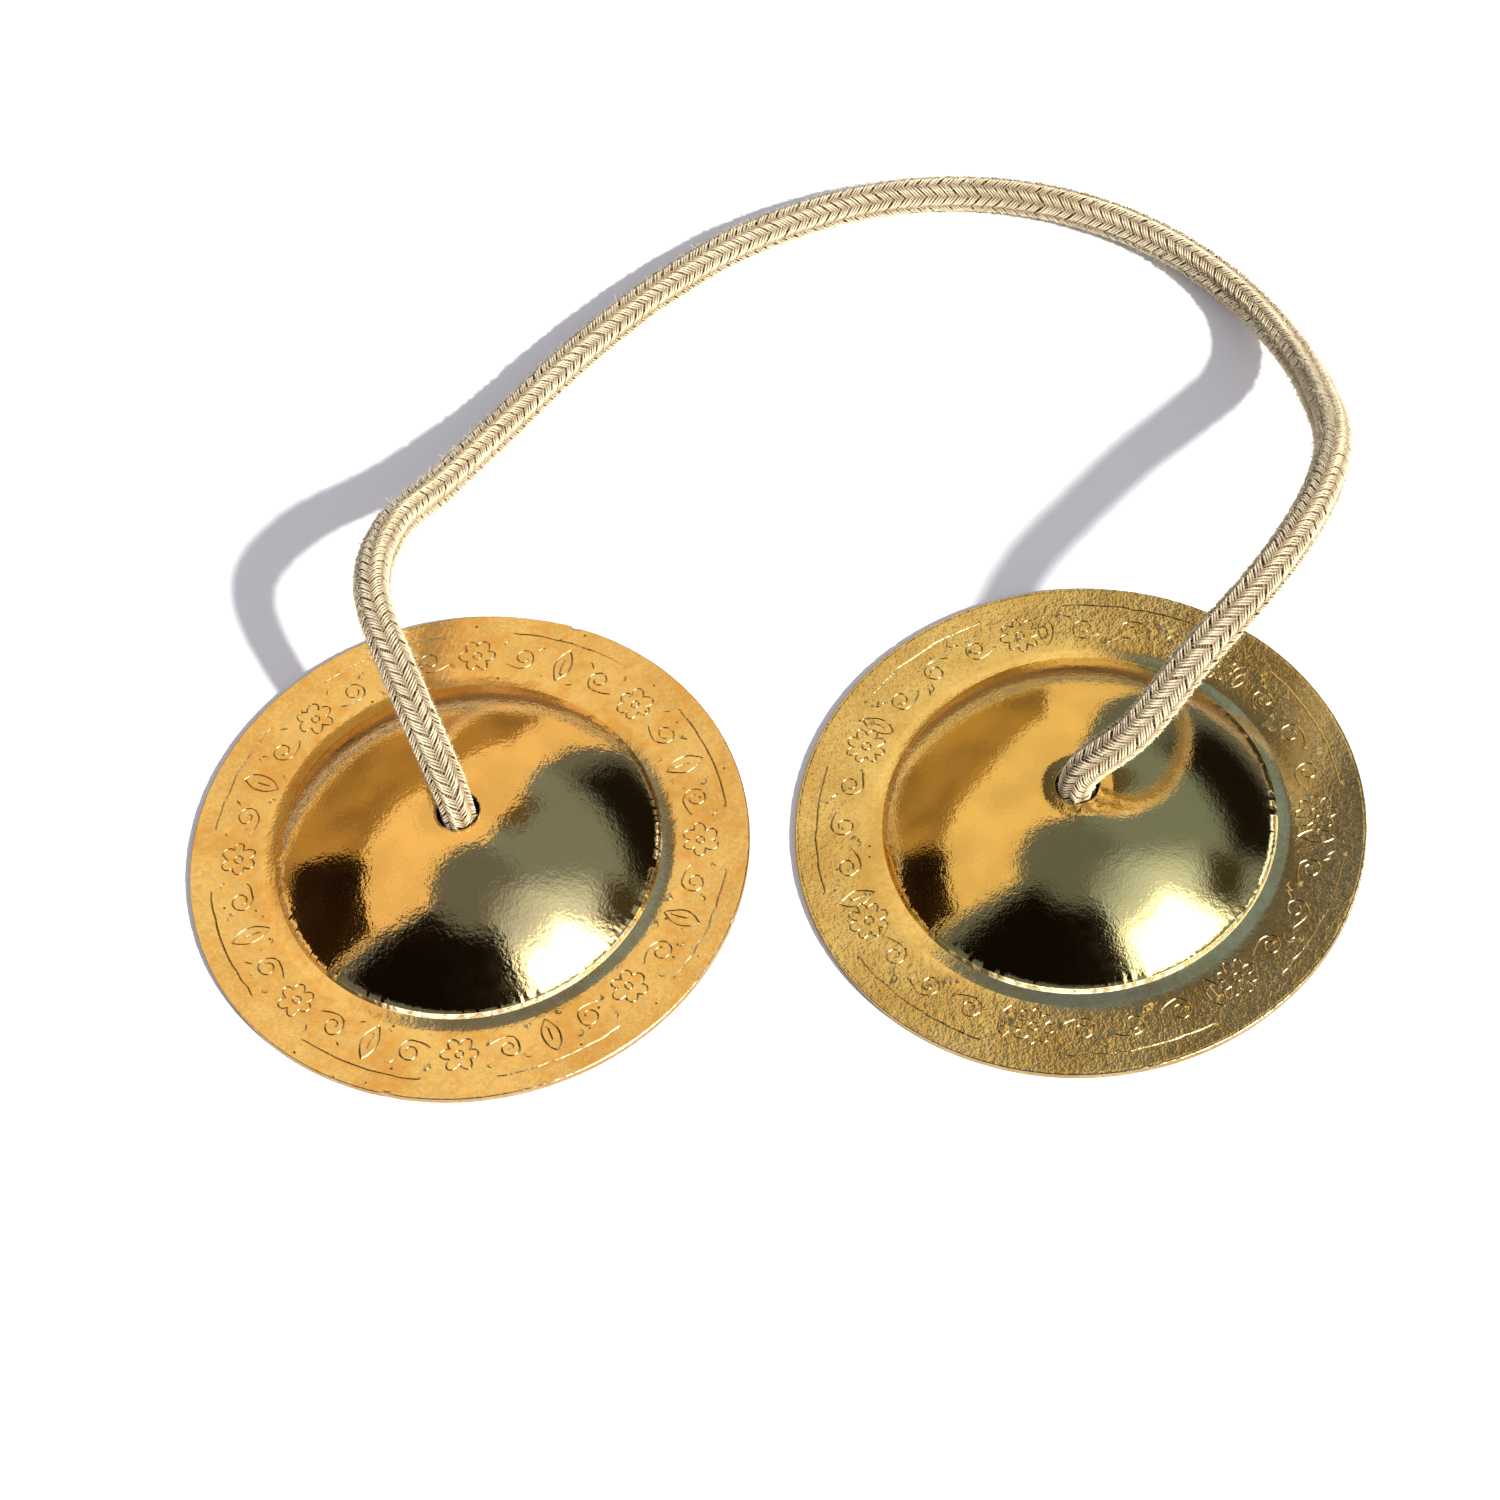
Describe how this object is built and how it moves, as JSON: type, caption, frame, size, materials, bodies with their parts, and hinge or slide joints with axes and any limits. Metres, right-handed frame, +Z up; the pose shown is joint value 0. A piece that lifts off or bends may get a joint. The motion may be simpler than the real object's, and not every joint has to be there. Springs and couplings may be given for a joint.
{
  "type": "pair of hand cymbals",
  "caption": "Two small domed brass hand cymbals, joined by one braided cotton cord that is knotted inside each bell.",
  "frame": {"origin": "on the table, midway between the two cymbals", "axes": "+X from the left cymbal to the right one, +Y to the back where the cord lies, +Z up"},
  "size_m": [0.146, 0.137, 0.0339],
  "materials": {
    "left_brass": "warm gold lacquered brass, polished on the bell, finely pitted on the flange",
    "right_brass": "yellower brass, polished on the bell, pebbled on the flange",
    "cotton": "natural braided cotton, matt, with loose fibres"
  },
  "bodies": {
    "left_cymbal": {"left_cymbal": "left_brass"},
    "left_knot": {"left_knot": "cotton"},
    "cord": {"cord": "cotton"},
    "right_knot": {"right_knot": "cotton"},
    "right_cymbal": {"right_cymbal": "right_brass"}
  },
  "joints": [
    {"name": "left_spin", "type": "hinge", "parent": "left_cymbal", "child": "left_knot", "pos_m": [-0.0378, 0, 0.0094], "axis": [0, 0, 1], "continuous": true},
    {"name": "cord_swing", "type": "hinge", "parent": "left_knot", "child": "cord", "pos_m": [-0.0378, 0, 0.01256], "axis": [1, 0, 0], "range_deg": [0, 90]},
    {"name": "right_cord_swing", "type": "hinge", "parent": "cord", "child": "right_knot", "pos_m": [0.0378, 0, 0.01256], "axis": [1, 0, 0], "range_deg": [-90, 0]},
    {"name": "right_spin", "type": "hinge", "parent": "right_knot", "child": "right_cymbal", "pos_m": [0.0378, 0, 0.0094], "axis": [0, 0, 1], "continuous": true}
  ],
  "couplings": [
    {"joint": "right_cord_swing", "follows": "cord_swing", "ratio": -1}
  ]
}
